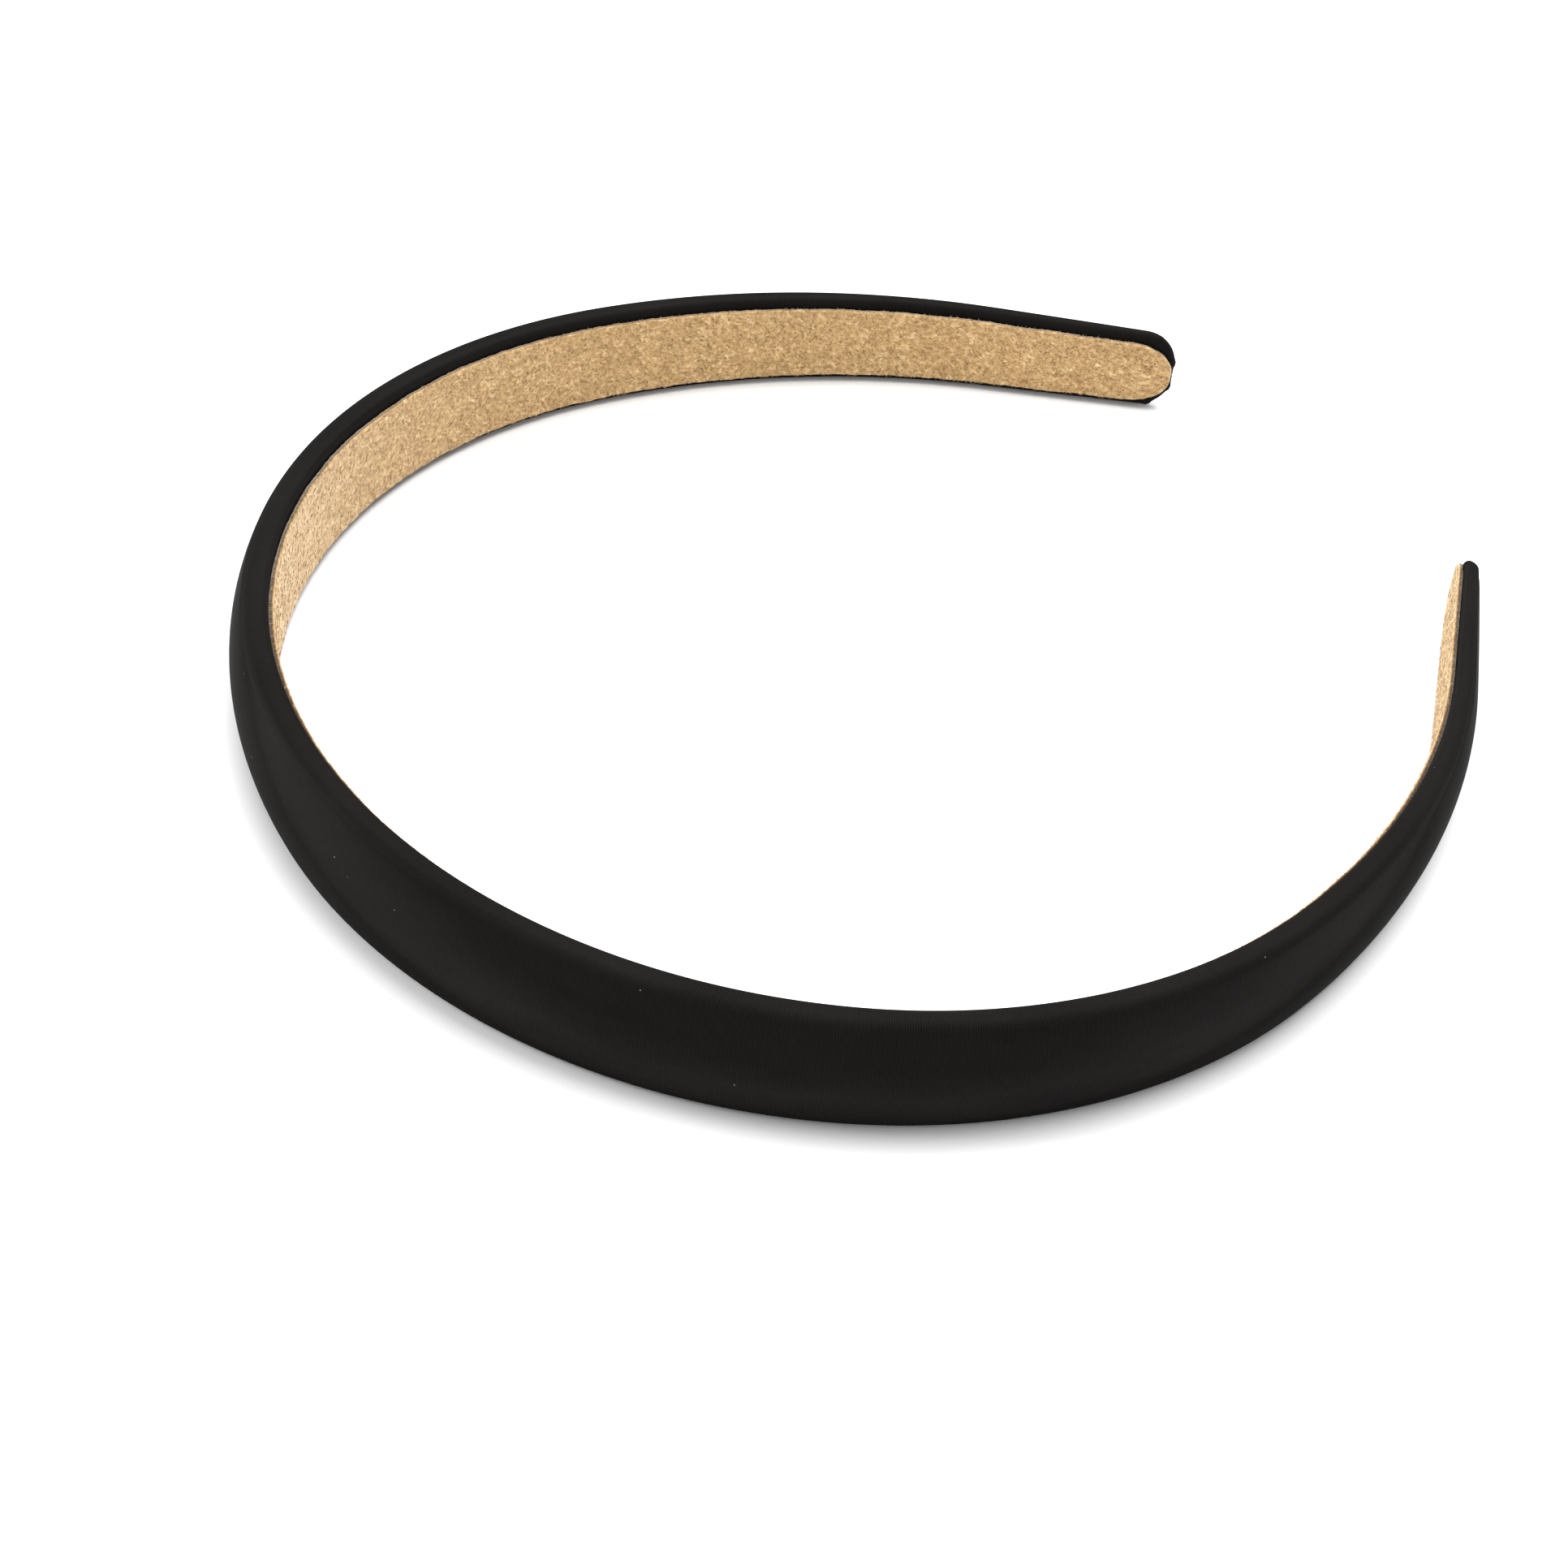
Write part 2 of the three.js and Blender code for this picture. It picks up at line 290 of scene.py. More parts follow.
def edge_profile(inner, outer, inner_edge, outer_edge, along):
    """(inset, out) for each place along the outline, from the outer face's border round the
    side edge to the inner face."""
    thick = outer - thinning(along) - inner
    outer_round = np.minimum(outer_edge, thick / 2)
    steps = []
    for angle in np.radians(np.linspace(90 - DOME_SLOPE, 0, OUTER_EDGE_STEPS)):
        steps.append((outer_round * (1 - math.cos(angle)),
                      inner + thick - outer_round * (1 - math.sin(angle))))
    for angle in np.radians(np.linspace(0, 90, INNER_EDGE_STEPS)):
        steps.append((inner_edge * (1 - math.cos(angle)) + 0 * along,
                      inner + inner_edge * (1 - math.sin(angle)) + 0 * along))
    return steps


def tuck_lift(along, height):
    """From 0 to 1, how strongly the satin is bunched into a tuck at a place on the outline."""
    centre = HALF_LENGTH - COVER_TIP_RADIUS
    turn = np.arctan2(np.abs(along) - centre, height) / math.pi
    at_tip = np.abs(along) > centre
    lift = sum(np.exp(-((turn - place) / TUCK_SPREAD) ** 2) for place in TUCKS)
    return np.where(at_tip, lift, 0)


def cover_steps(along):
    """(inset, out, share of the way to the hem) for each ring of the cover, from the outer
    face's border round the side edge and in to the hem."""
    profile = edge_profile(COVER_INNER, COVER_OUTER, INNER_EDGE, OUTER_EDGE, along)
    hem = half_width(along) - HEM_GAP / 2
    steps = [(inset, out, 0.0) for inset, out in profile]
    steps += [(INNER_EDGE + share * (hem - INNER_EDGE), COVER_INNER + 0 * along, share)
              for share in HEM_SHARES]
    return steps


def make_cover():
    """One surface, from hem to hem, given its thickness by a modifier. Its strip attribute is
    the place on the flat ribbon, in millimetres, so that the weave runs true over its edges."""
    outline = Outline(0, 0, SATIN_STEP)
    rows = len(outline.along)
    grid_along, grid_height = outline.rows(FACE_INSET, SATIN_COLUMNS)
    grid_out = face_out(grid_along, grid_height, COVER_OUTER, OUTER_EDGE)
    flat = [np.stack((grid_along, grid_out, grid_height), -1).reshape(-1, 3)]
    strip = [np.stack((grid_along, grid_height), -1).reshape(-1, 2)]

    along, height, inward, upward = outline.loop(SATIN_COLUMNS)
    rings = [border_of(rows, SATIN_COLUMNS)]
    tuck = tuck_lift(along, height)
    tuck_aside, tuck_forward = TUCK_LEAN
    steps = cover_steps(along)
    before = steps[0][:2]
    width_so_far = 0 * along
    for inset, out, share in steps[1:]:
        on_inside = np.clip((COVER_INNER + 2 * INNER_EDGE - out) / INNER_EDGE, 0, 1)
        lifted = TUCK_HEIGHT * tuck * on_inside * max(0.0, 1 - share / TUCK_LENGTH)
        moved_in = inset - tuck_aside * lifted
        ring_along = along + inward * moved_in
        ring_height = height + upward * moved_in
        flat.append(np.stack((ring_along, out - tuck_forward * lifted, ring_height), -1))
        width_so_far = width_so_far + np.hypot(inset - before[0], out - before[1])
        before = (inset, out)
        unrolled = np.abs(height) - FACE_INSET + width_so_far
        strip.append(np.stack((along, np.sign(height) * unrolled), -1))
        rings.append(next_ring(rings, rows, SATIN_COLUMNS, len(along)))

    flat = np.concatenate(flat)
    strip = np.concatenate(strip)
    faces = grid_faces(rows, SATIN_COLUMNS) + ring_faces(rings)
    cover = make_object("satin_cover", on_hoop(flat[:, 0], flat[:, 1], flat[:, 2]), faces)
    store(cover, "strip", np.column_stack((strip, np.zeros(len(strip)))))
    solidify = cover.modifiers.new("satin thickness", "SOLIDIFY")
    solidify.thickness = SATIN_THICKNESS * MM
    solidify.offset = -1
    return cover


# ---- The suede lining ----------------------------------------------------------------

SUEDE_STEP = 0.32
SUEDE_COLUMNS = 40
SUEDE_EDGE = 0.2
SUEDE_EDGE_STEPS = 3
NAP_DEPTH = 0.13  # from the tops of the nap to its pits
FINE_PITCH = 0.33  # the nap's texture has three sizes of tuft
FINER_PITCH = 0.17
BROAD_PITCH = 2.4
NOTCH_DEPTH = 0.16  # the short ins and outs of the cut edge
WANDER_DEPTH = 0.2  # and its long ones
LINING_SHIFT = 0.9  # how far the lining and its film are stuck towards the right tip
LINING_STRETCH = 0.5  # and how much farther its right tip reaches
LINING_DROP = 0.15  # how far they are stuck below the cover's mid line


def suede_texture(along, height):
    """How far the nap stands up, in millimetres, and its height as a share."""
    fine = value_noise(along / FINE_PITCH, height / FINE_PITCH, 11)
    finer = value_noise(along / FINER_PITCH + 40, height / FINER_PITCH, 12)
    broad = value_noise(along / BROAD_PITCH, height / BROAD_PITCH + 9, 13)
    share = 0.55 * fine + 0.37 * finer + 0.08 * broad
    return NAP_DEPTH * share, share


def on_lining(along, out, height):
    """A place on the lining or its film, which lie a little off the cover's middle."""
    shift = LINING_SHIFT + LINING_STRETCH * along / HALF_LENGTH
    return on_hoop(along + shift, out, height - LINING_DROP)


def rounded_edge(radius, steps):
    """(inset, out) for each step down a rounded edge, from the face to the side."""
    angles = np.radians(np.linspace(-90, 0, steps + 1))[1:]
    return [(radius - radius * math.cos(angle), radius + radius * math.sin(angle))
            for angle in angles]


def lining_outline(step):
    return Outline(LINING_SIDE_INSET, -LINING_OVERHANG, step,
                   radius=LINING_TIP_RADIUS, reach=LINING_TIP_REACH)


def make_lining():
    """The lining: closed, with a napped face. Its nap attribute is how high the nap stands,
    from 0 to 1, and fades to 0 down the burnt edge. The colour darkens with it: painted shade, and
    burn at the edge."""
    outline = lining_outline(SUEDE_STEP)
    rows = len(outline.along)
    along, height, inward, upward = outline.loop(SUEDE_COLUMNS)
    # The strip wasn't cut quite straight.
    ragged = NOTCH_DEPTH * (value_noise(along / 0.5, height / 3, 21) - 0.5)
    ragged += WANDER_DEPTH * (value_noise(along / 4.0, height / 9, 22) - 0.5)

    grid_along, grid_height = outline.rows(SUEDE_EDGE, SUEDE_COLUMNS)
    lift, share = suede_texture(grid_along, grid_height)
    flat = [np.stack((grid_along, -lift, grid_height), -1).reshape(-1, 3)]
    shares = [share.ravel()]
    rings = [border_of(rows, SUEDE_COLUMNS)]
    # Each step has an inset, a distance out and a share of the edge's ragged line. Under the
    # edge a lip of suede, burnt and painted shade, is pressed down round the film, almost to the
    # satin.
    lip = COVER_INNER - 0.02
    profile = [(*place, 1) for place in rounded_edge(SUEDE_EDGE, SUEDE_EDGE_STEPS)]
    profile += [(0.06, 0.24, 1), (0.1, lip, 1), (0.24, lip, 0.2), (0.26, LINING_THICKNESS, 0)]
    for inset, out, uneven in profile:
        reach = inset + ragged * uneven
        ring_along, ring_height = along + inward * reach, height + upward * reach
        lift, share = suede_texture(ring_along, ring_height)
        on_top = np.clip(1 - out / SUEDE_EDGE, 0, 1)
        flat.append(np.stack((ring_along, out - lift * on_top, ring_height), -1))
        # The tone fades to dark down the cut edge: partly a burnt edge, partly painted shade.
        scorched = np.clip(1 - out / LINING_THICKNESS, 0, 1)
        shares.append(share * scorched)
        rings.append(next_ring(rings, rows, SUEDE_COLUMNS, len(along)))

    flat = np.concatenate(flat)
    faces = [face[::-1] for face in grid_faces(rows, SUEDE_COLUMNS)]
    faces += [face[::-1] for face in ring_faces(rings)]
    faces += [face[::-1] for face in closing_faces(rings[-1], rows, SUEDE_COLUMNS)]
    lining = make_object("suede_lining", on_lining(flat[:, 0], flat[:, 1], flat[:, 2]), faces)
    store(lining, "nap", np.concatenate(shares))
    store(lining, "strip", np.column_stack((flat[:, 0], flat[:, 2], flat[:, 1])))
    return lining


# ---- The lining's loose fibres -------------------------------------------------------

NAP_FIBRES = 26000
NAP_LENGTHS = (0.3, 0.85)
NAP_WIDTHS = (0.05, 0.1)
NAP_RISE = 0.015  # from the face to the fibres' middles
FRINGE_FIBRES = 5200
FRINGE_STEP = 0.05
FRINGE_LENGTHS = (0.2, 0.5)
FRINGE_WIDTHS = (0.04, 0.075)
LONG_SHARE = 0.05  # of the fringe, and these are twice as long
FIBRE_POINTS = 5


def fibres(along, height, out, turn, length, width, lean, rng):
    """Bent spindles, each of five points and six faces. along, height and out place the
    middles, turn is the way they lie, and lean is how far the far end stands up."""
    count = len(along)
    ahead = np.stack((np.cos(turn), np.zeros(count), np.sin(turn)), -1)
    aside = np.stack((-np.sin(turn), np.zeros(count), np.cos(turn)), -1)
    up = np.array((0.0, -1.0, 0.0))
    middle = np.stack((along, out, height), -1)
    bend = rng.normal(0, 0.16, count)[:, None] * length[:, None]
    near = middle - ahead * length[:, None] / 2
    far = middle + ahead * length[:, None] / 2 + up * lean[:, None]
    middle = middle + aside * bend
    corners = []
    for corner in range(3):
        angle = 2 * math.pi * corner / 3
        corners.append(middle + aside * (width * math.cos(angle) / 2)[:, None]
                       + up * (width * math.sin(angle) / 2)[:, None])
    points = np.stack((near, *corners, far), 1).reshape(-1, 3)
    first = np.arange(count)[:, None] * FIBRE_POINTS
    pattern = ((0, 1, 2), (0, 2, 3), (0, 3, 1), (4, 2, 1), (4, 3, 2), (4, 1, 3))
    faces = np.concatenate([first + np.array(corner) for corner in pattern])
    return points, faces


def face_fibres(rng):
    """The nap lying over the lining's face: its points, faces and tones."""
    along = rng.uniform(-HALF_LENGTH, HALF_LENGTH, NAP_FIBRES * 2)
    side = half_width(along) - LINING_SIDE_INSET - SUEDE_EDGE / 2
    height = rng.uniform(-1, 1, NAP_FIBRES * 2) * side
    # Only those inside the outline are kept, and its tips are rounded.
    past = np.abs(along) - (HALF_LENGTH + LINING_OVERHANG - LINING_TIP_REACH)
    beyond = np.maximum(np.abs(height) - (side - LINING_TIP_RADIUS), 0)
    inside = (past < 0) | (np.hypot(past / LINING_TIP_REACH, beyond / LINING_TIP_RADIUS) < 0.97)
    along, height = along[inside][:NAP_FIBRES], height[inside][:NAP_FIBRES]
    count = len(along)
    lift, _ = suede_texture(along, height)
    length = rng.uniform(*NAP_LENGTHS, count)
    width = rng.uniform(*NAP_WIDTHS, count)
    turn = rng.uniform(0, math.pi, count)
    lean = rng.uniform(-0.03, 0.06, count)
    points, faces = fibres(along, height, -lift - NAP_RISE, turn, length, width, lean, rng)
    return points, faces, rng.beta(1.0, 1.2, count)


def fringe_fibres(rng):
    """The fibres that stick out, in clumps, round the lining's cut edge: their points, faces
    and tones."""
    along, height, inward, upward = lining_outline(FRINGE_STEP).loop(SUEDE_COLUMNS)
    chosen = rng.integers(0, len(along), FRINGE_FIBRES)
    clumps = value_noise(along[chosen] / 1.1, height[chosen], 31)
    chosen = chosen[clumps > rng.uniform(0.1, 0.75, FRINGE_FIBRES)]
    count = len(chosen)
    outward = np.arctan2(-upward[chosen], -inward[chosen])
    turn = outward + rng.normal(0, 0.6, count)
    length = rng.uniform(*FRINGE_LENGTHS, count)
    length = length * np.where(rng.random(count) < LONG_SHARE, 2, 1)
    reach = rng.uniform(-0.1, 0.12, count)
    out = rng.uniform(0.0, 0.3, count)
    width = rng.uniform(*FRINGE_WIDTHS, count)
    lean = rng.uniform(-0.15, 0.12, count)
    points, faces = fibres(along[chosen] - inward[chosen] * reach,
                           height[chosen] - upward[chosen] * reach,
                           out, turn, length, width, lean, rng)
    return points, faces, rng.beta(1.3, 1.8, count)


def make_nap():
    rng = np.random.default_rng(5)
    points, faces, tones = face_fibres(rng)
    fringe_points, fringe_faces, fringe_tones = fringe_fibres(rng)
    all_faces = np.concatenate((faces, fringe_faces + len(points)))
    points = np.concatenate((points, fringe_points))
    placed = on_lining(points[:, 0], points[:, 1], points[:, 2])
    nap = make_object("suede_nap", placed, all_faces, smooth=False)
    store(nap, "tone", np.repeat(np.concatenate((tones, fringe_tones)), FIBRE_POINTS))
    return nap


# ---- The plain inner layers ----------------------------------------------------------

PLAIN_STEP = 1.5
CORE_COLUMNS = 8
FILM_COLUMNS = 4


def make_core():
    """The core: closed, domed like the satin over it, and thinner at its tips."""
    around = SATIN_THICKNESS + LAYER_GAP
    columns = CORE_COLUMNS
    outline = Outline(around, around, PLAIN_STEP)
    rows = len(outline.along)
    inset = CORE_OUTER_EDGE * (1 - math.sin(math.radians(DOME_SLOPE)))
    grid_along, grid_height = outline.rows(inset, columns)
    grid_out = face_out(grid_along, grid_height, CORE_OUTER, CORE_OUTER_EDGE)
    flat = [np.stack((grid_along, grid_out, grid_height), -1).reshape(-1, 3)]
    along, height, inward, upward = outline.loop(columns)
    rings = [border_of(rows, columns)]
    profile = edge_profile(CORE_INNER, CORE_OUTER, CORE_INNER_EDGE, CORE_OUTER_EDGE, along)
    for inset, out in profile[1:]:
        flat.append(np.stack((along + inward * inset, out, height + upward * inset), -1))
        rings.append(next_ring(rings, rows, columns, len(along)))
    flat = np.concatenate(flat)
    faces = grid_faces(rows, columns) + ring_faces(rings)
    faces += closing_faces(rings[-1], rows, columns)
    core = make_object("hoop_core", on_hoop(flat[:, 0], flat[:, 1], flat[:, 2]), faces)
    store(core, "strip", np.column_stack((flat[:, 0], flat[:, 2], flat[:, 1])))
    return core


def make_film():
    """The film under the lining: a closed sheet with square edges."""
    outline = Outline(LINING_SIDE_INSET + FILM_INSET, FILM_INSET, PLAIN_STEP,
                      radius=LINING_TIP_RADIUS - FILM_INSET, reach=LINING_TIP_REACH - FILM_INSET)
    rows = len(outline.along)
    columns = FILM_COLUMNS
    along, height = outline.rows(0, columns)
    outer = FILM_INNER + FILM_THICKNESS + 0 * along
    flat = [np.stack((along, outer, height), -1).reshape(-1, 3)]
    loop_along, loop_height, _, _ = outline.loop(columns)
    flat.append(np.stack((loop_along, FILM_INNER + 0 * loop_along, loop_height), -1))
    rings = [border_of(rows, columns)]
    rings.append(next_ring(rings, rows, columns, len(loop_along)))
    flat = np.concatenate(flat)
    faces = grid_faces(rows, columns) + ring_faces(rings)
    faces += closing_faces(rings[-1], rows, columns)
    film = make_object("lining_film", on_lining(flat[:, 0], flat[:, 1], flat[:, 2]), faces)
    store(film, "strip", np.column_stack((flat[:, 0], flat[:, 2], flat[:, 1])))
    return film


# ---- Materials -----------------------------------------------------------------------

class Nodes:
    """A material's node tree, with short calls for the nodes used here."""

    def __init__(self, name):
        self.material = bpy.data.materials.new(name)
        self.material.use_nodes = True
        self.tree = self.material.node_tree
        self.shader = self.tree.nodes["Principled BSDF"]

    def link(self, source, target):
        self.tree.links.new(source, target)

    def feed(self, socket, value):
        if isinstance(value, bpy.types.NodeSocket):
            self.link(value, socket)
        else:
            socket.default_value = value

    def attribute(self, name, output="Vector"):
        node = self.tree.nodes.new("ShaderNodeAttribute")
        node.attribute_name = name
        return node.outputs[output]

    def facing(self):
        """From 0 where the surface is square to the eye to 1 where it is edge on."""
        return self.tree.nodes.new("ShaderNodeLayerWeight").outputs["Facing"]

    def maths(self, operation, *values):
        node = self.tree.nodes.new("ShaderNodeMath")
        node.operation = operation
        for socket, value in zip(node.inputs, values):
            self.feed(socket, value)
        return node.outputs[0]

    def split(self, vector):
        node = self.tree.nodes.new("ShaderNodeSeparateXYZ")
        self.link(vector, node.inputs[0])
        return node.outputs[0], node.outputs[1], node.outputs[2]

    def stretch(self, vector, scale):
        node = self.tree.nodes.new("ShaderNodeVectorMath")
        node.operation = "MULTIPLY"
        self.link(vector, node.inputs[0])
        node.inputs[1].default_value = scale
        return node.outputs[0]

    def noise(self, vector, scale, detail=2.0, rough=0.5):
        node = self.tree.nodes.new("ShaderNodeTexNoise")
        self.link(vector, node.inputs["Vector"])
        node.inputs["Scale"].default_value = scale
        node.inputs["Detail"].default_value = detail
        node.inputs["Roughness"].default_value = rough
        return node.outputs["Fac"]

    def voronoi(self, vector, scale):
        node = self.tree.nodes.new("ShaderNodeTexVoronoi")
        self.link(vector, node.inputs["Vector"])
        node.inputs["Scale"].default_value = scale
        return node.outputs["Distance"], node.outputs["Color"]

    def ramp(self, value, *stops):
        """Colours along a value, each stop a place and a colour or grey level."""
        node = self.tree.nodes.new("ShaderNodeValToRGB")
        self.link(value, node.inputs[0])
        elements = node.color_ramp.elements
        while len(elements) < len(stops):
            elements.new(1.0)
        for element, (place, colour) in zip(elements, stops):
            element.position = place
            grey = isinstance(colour, (int, float))
            element.color = (colour,) * 3 + (1,) if grey else (*colour, 1)
        return node.outputs[0]

    def mix(self, share, first, second):
        node = self.tree.nodes.new("ShaderNodeMix")
        node.data_type = "RGBA"
        self.feed(node.inputs[0], share)
        self.feed(node.inputs[6], first)
        self.feed(node.inputs[7], second)
        return node.outputs[2]

    def bump(self, height, strength, distance_mm):
        node = self.tree.nodes.new("ShaderNodeBump")
        node.inputs["Strength"].default_value = strength
        node.inputs["Distance"].default_value = distance_mm * MM
        self.link(height, node.inputs["Height"])
        return node.outputs[0]

    def set(self, **values):
        for name, value in values.items():
            self.feed(self.shader.inputs[name.replace("_", " ")], value)


RIB_PITCH = 0.24  # the satin's ribs, which cross the band
YARN_PITCH = 0.17  # the yarns that run along it


def satin_material():
    n = Nodes("black satin")
    strip = n.attribute("strip")
    along, across, _ = n.split(strip)
    drift = n.maths("MULTIPLY", n.noise(n.stretch(strip, (0.5, 0.1, 1)), 1.0), 1.6)
    rib_turn = n.maths("MULTIPLY_ADD", along, 2 * math.pi / RIB_PITCH, drift)
    rib = n.maths("MULTIPLY_ADD", n.maths("SINE", rib_turn), 0.5, 0.5)
    half_rib = n.maths("MULTIPLY", along, math.pi / RIB_PITCH)
    yarn_turn = n.maths("MULTIPLY_ADD", across, 2 * math.pi / YARN_PITCH, half_rib)
    yarn = n.maths("MULTIPLY_ADD", n.maths("SINE", yarn_turn), 0.5, 0.5)
    slub = n.noise(n.stretch(strip, (4.0, 0.7, 1)), 1.0, 3.0, 0.6)
    weave = n.maths("ADD", n.maths("MULTIPLY", rib, 0.6), n.maths("MULTIPLY", yarn, 0.4))
    relief = n.maths("ADD", weave, n.maths("MULTIPLY", slub, 0.5))

    cloud = n.noise(n.stretch(strip, (0.06, 0.18, 1)), 1.0, 3.0)
    shade = n.maths("ADD", n.maths("MULTIPLY", weave, 0.4), n.maths("MULTIPLY", cloud, 0.35))
    shade = n.maths("ADD", shade, n.maths("MULTIPLY", slub, 0.25))
    cloth = n.ramp(shade, (0.25, (0.0034, 0.0031, 0.0030)), (0.75, (0.0125, 0.0113, 0.0106)))
    # A few specks of pale lint have settled on the cloth.
    distance, cell = n.voronoi(strip, 0.42)
    near = n.maths("LESS_THAN", distance, 0.035)
    chosen = n.maths("GREATER_THAN", n.split(cell)[0], 0.72)
    speck = n.maths("MULTIPLY", near, chosen)
    colour = n.mix(n.maths("MULTIPLY", speck, 0.5), cloth, (0.35, 0.36, 0.38, 1))
    n.set(Base_Color=colour)
    n.set(Roughness=n.ramp(shade, (0.0, 0.5), (1.0, 0.36)))
    # The fibres hide one another at low angles, so the cloth's gloss falls off there.
    gloss = n.ramp(n.facing(), (0.2, 0.01), (0.4, 0.022), (0.55, 0.012), (0.66, 0.002))
    n.set(Specular_IOR_Level=gloss)
    n.set(Normal=n.bump(relief, 0.35, 0.03))
    return n.material


def suede_colours(n, value):
    return n.ramp(value,
                  (0.0, (0.145, 0.075, 0.027)),
                  (0.3, (0.37, 0.226, 0.095)),
                  (0.6, (0.53, 0.345, 0.158)),
                  (1.0, (0.86, 0.66, 0.38)))


def suede_material():
    n = Nodes("tan suede")
    strip = n.attribute("strip")
    _, _, depth = n.split(strip)
    nap = n.attribute("nap", "Fac")
    grain = n.noise(strip, 3.2, 4.0, 0.65)
    broad = n.noise(strip, 0.35, 2.0)
    # The colour darkens where the nap stands low: painted shade in its hollows, over the suede's
    # own grain.
    tone = n.maths("ADD", n.maths("MULTIPLY", nap, 0.6), n.maths("MULTIPLY", grain, 0.55))
    tone = n.maths("ADD", tone, n.maths("MULTIPLY_ADD", broad, 0.12, -0.12))
    tone = n.maths("MULTIPLY_ADD", tone, 1.5, -0.24)
    # The pits are dark spots of painted shade, mixed into the colour, not holes in the surface.
    pits = n.ramp(n.noise(strip, 2.6, 2.0, 0.6), (0.34, 1.0), (0.44, 0.0))
    # The cut edge darkens where it meets the film: partly a burnt edge, partly painted shade.
    scorch = n.ramp(n.maths("DIVIDE", depth, LINING_THICKNESS), (0.1, 0.0), (0.55, 1.0))
    face = n.mix(n.maths("MULTIPLY", pits, 0.6), suede_colours(n, tone), (0.13, 0.06, 0.02, 1))
    colour = n.mix(scorch, face, (0.06, 0.026, 0.009, 1))
    n.set(Base_Color=colour)
    n.set(Roughness=n.ramp(grain, (0.0, 1.0), (1.0, 0.85)))
    n.set(Specular_IOR_Level=0.1)
    n.set(Sheen_Weight=0.8, Sheen_Roughness=0.45, Sheen_Tint=(1, 0.9, 0.72, 1))
    n.set(Normal=n.bump(grain, 0.8, 0.14))
    return n.material


def nap_material():
    n = Nodes("suede fibres")
    n.set(Base_Color=suede_colours(n, n.attribute("tone", "Fac")))
    n.set(Roughness=0.95, Specular_IOR_Level=0.1)
    n.set(Sheen_Weight=0.8, Sheen_Roughness=0.45, Sheen_Tint=(1, 0.9, 0.72, 1))
    return n.material


def core_material():
    n = Nodes("moulded black plastic")
    strip = n.attribute("strip")
    grain = n.noise(strip, 5.0, 3.0)
    flow = n.noise(n.stretch(strip, (0.05, 0.6, 1)), 1.0)
    n.set(Base_Color=n.ramp(flow, (0.2, (0.012, 0.012, 0.013)), (0.8, (0.022, 0.022, 0.024))))
    n.set(Roughness=n.ramp(grain, (0.0, 0.3), (1.0, 0.5)))
    n.set(Normal=n.bump(grain, 0.2, 0.02))
    return n.material


def film_material():
    n = Nodes("adhesive film")
    strip = n.attribute("strip")
    smear = n.noise(n.stretch(strip, (0.15, 0.6, 1)), 1.0, 3.0)
    n.set(Base_Color=n.ramp(smear, (0.2, (0.55, 0.44, 0.24)), (0.8, (0.72, 0.64, 0.42))))
    n.set(Roughness=n.ramp(smear, (0.0, 0.15), (1.0, 0.4)))
    n.set(Normal=n.bump(smear, 0.3, 0.03))
    return n.material


# ---- Assembly ------------------------------------------------------------------------

def join_frame(piece, material, slot, *nodes):
    """Gives a piece its finish and hides the CAD halves that it stands in for."""
    piece.data.materials.append(material)
    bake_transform(piece)
    if nodes:
        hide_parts(*nodes)


cover = make_cover()
lining = make_lining()
nap = make_nap()
core = make_core()
film = make_film()
join_frame(cover, satin_material(), "satin", "satin_cover_left", "satin_cover_right")
join_frame(lining, suede_material(), "suede", "suede_lining_left", "suede_lining_right")
join_frame(nap, nap_material(), "suede")
join_frame(core, core_material(), "core_plastic", "hoop_core_left", "hoop_core_right")
join_frame(film, film_material(), "adhesive_film", "lining_film_left", "lining_film_right")

# ---- Camera, floor and light ---------------------------------------------------------

CAMERA_PLACE = (207.5, -113.9, 207.3)  # along the hoop's own axes from the crown, in mm
CAMERA_AIM = (15.86, 43.58, 0.0)
CAMERA_ROLL = 6.11  # degrees
CAMERA_LENS = 69.54
FLOOR_REACH = 6.0  # metres each way from the middle


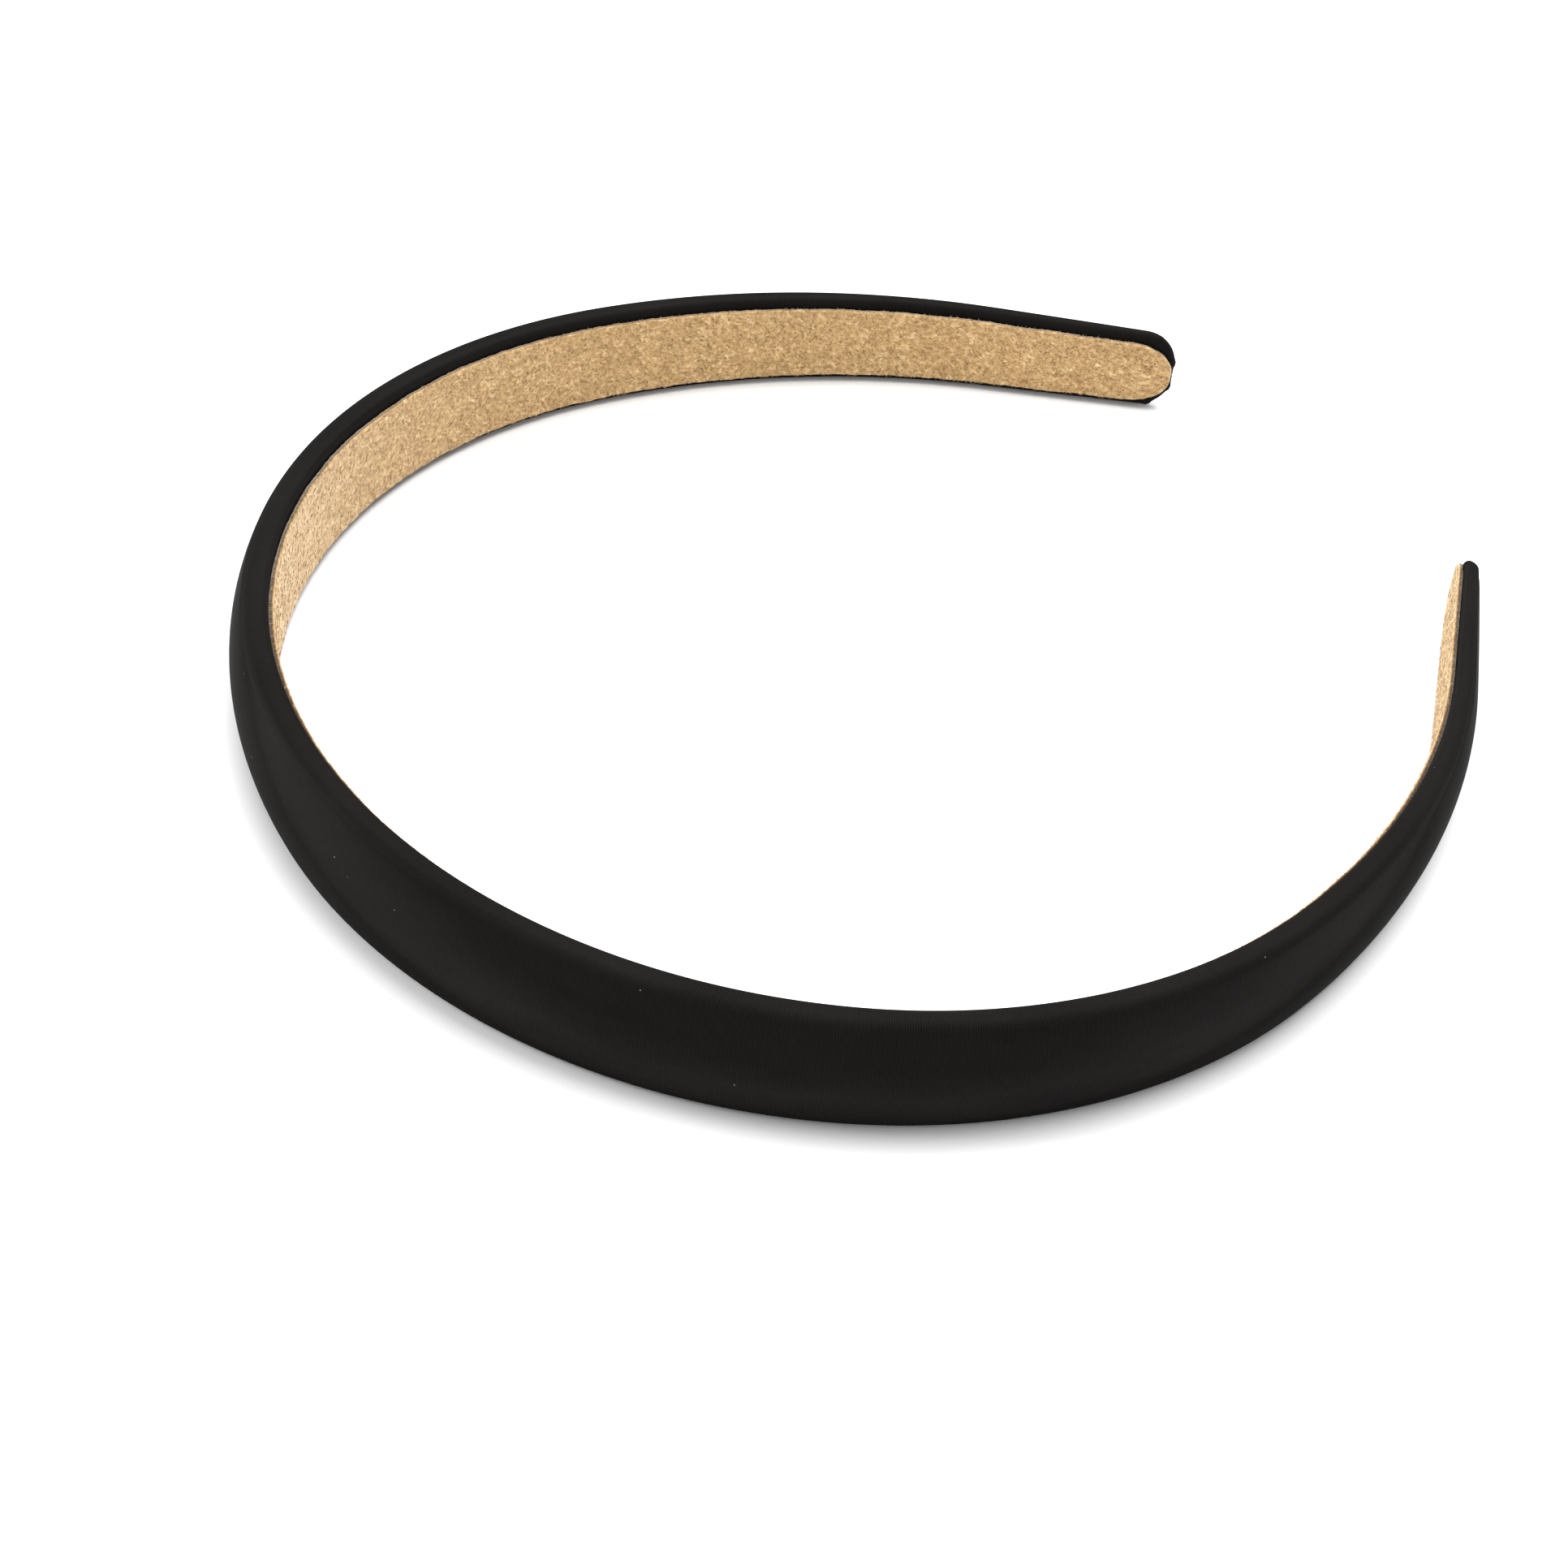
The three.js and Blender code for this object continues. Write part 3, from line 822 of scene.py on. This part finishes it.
def from_crown(place):
    """A point given in millimetres along the hoop's own axes."""
    right, back, up = place
    return CROWN + (RIGHT * right + BACK * back + UP * up) * MM


def make_camera():
    camera = bpy.data.objects.new("camera", bpy.data.cameras.new("camera"))
    bpy.context.scene.collection.objects.link(camera)
    camera.data.lens = CAMERA_LENS
    camera.data.clip_start = 0.01
    camera.location = from_crown(CAMERA_PLACE)
    ahead = (from_crown(CAMERA_AIM) - camera.location).normalized()
    level = ahead.cross(UP).normalized()
    level.rotate(Quaternion(-ahead, math.radians(CAMERA_ROLL)))
    axes = Matrix((level, ahead.cross(-level), -ahead)).transposed()
    camera.rotation_mode = "QUATERNION"
    camera.rotation_quaternion = axes.to_quaternion()
    bpy.context.scene.camera = camera


def make_floor():
    reach = FLOOR_REACH
    corners = [(-reach, -reach, 0), (reach, -reach, 0), (reach, reach, 0), (-reach, reach, 0)]
    floor = make_object("floor", corners, [(0, 1, 2, 3)])
    n = Nodes("pale floor")
    n.set(Base_Color=(0.9, 0.9, 0.9, 1), Roughness=0.9, Specular_IOR_Level=0.1)
    floor.data.materials.append(n.material)


def make_area_light(name, place, size, power):
    """A lamp aimed at the middle of the floor; place and size are in metres."""
    light = bpy.data.lights.new(name, "AREA")
    light.shape = "RECTANGLE"
    light.size, light.size_y = size
    light.energy = power
    lamp = bpy.data.objects.new(name, light)
    bpy.context.scene.collection.objects.link(lamp)
    lamp.location = place
    lamp.rotation_mode = "QUATERNION"
    lamp.rotation_quaternion = (-Vector(place)).to_track_quat("-Z", "Y")


def make_world(strength):
    world = bpy.data.worlds.new("studio")
    world.use_nodes = True
    background = world.node_tree.nodes["Background"]
    background.inputs["Color"].default_value = (1, 1, 1, 1)
    background.inputs["Strength"].default_value = strength
    bpy.context.scene.world = world


make_camera()
make_floor()
make_world(0.8)
make_area_light("overhead", (-0.1, 0.25, 0.9), (0.9, 0.9), 14)
make_area_light("side", (-0.6, -0.7, 0.45), (0.5, 0.5), 6)
bpy.context.scene.view_settings.view_transform = "Standard"
